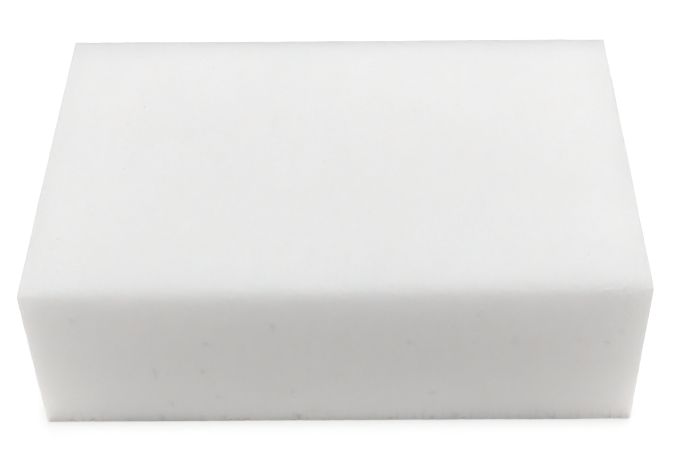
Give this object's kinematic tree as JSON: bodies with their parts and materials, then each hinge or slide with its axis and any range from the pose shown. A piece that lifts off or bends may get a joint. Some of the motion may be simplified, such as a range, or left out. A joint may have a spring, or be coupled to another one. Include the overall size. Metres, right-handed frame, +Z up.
{
  "type": "cleaning sponge",
  "caption": "Rectangular block of white melamine foam for scrubbing surfaces, sawn as one piece, with lightly softened edges and flat faces.",
  "frame": {"origin": "middle of the underside, on the surface that the block rests on", "axes": "+X along the length, +Y from the front face to the back face, +Z up through the thickness"},
  "size_m": [0.1, 0.065, 0.032],
  "materials": {
    "melamine_foam": "fine open-cell foam, sawn faces, fully matte"
  },
  "bodies": {
    "root": {"foam_block": "melamine_foam"}
  },
  "joints": []
}
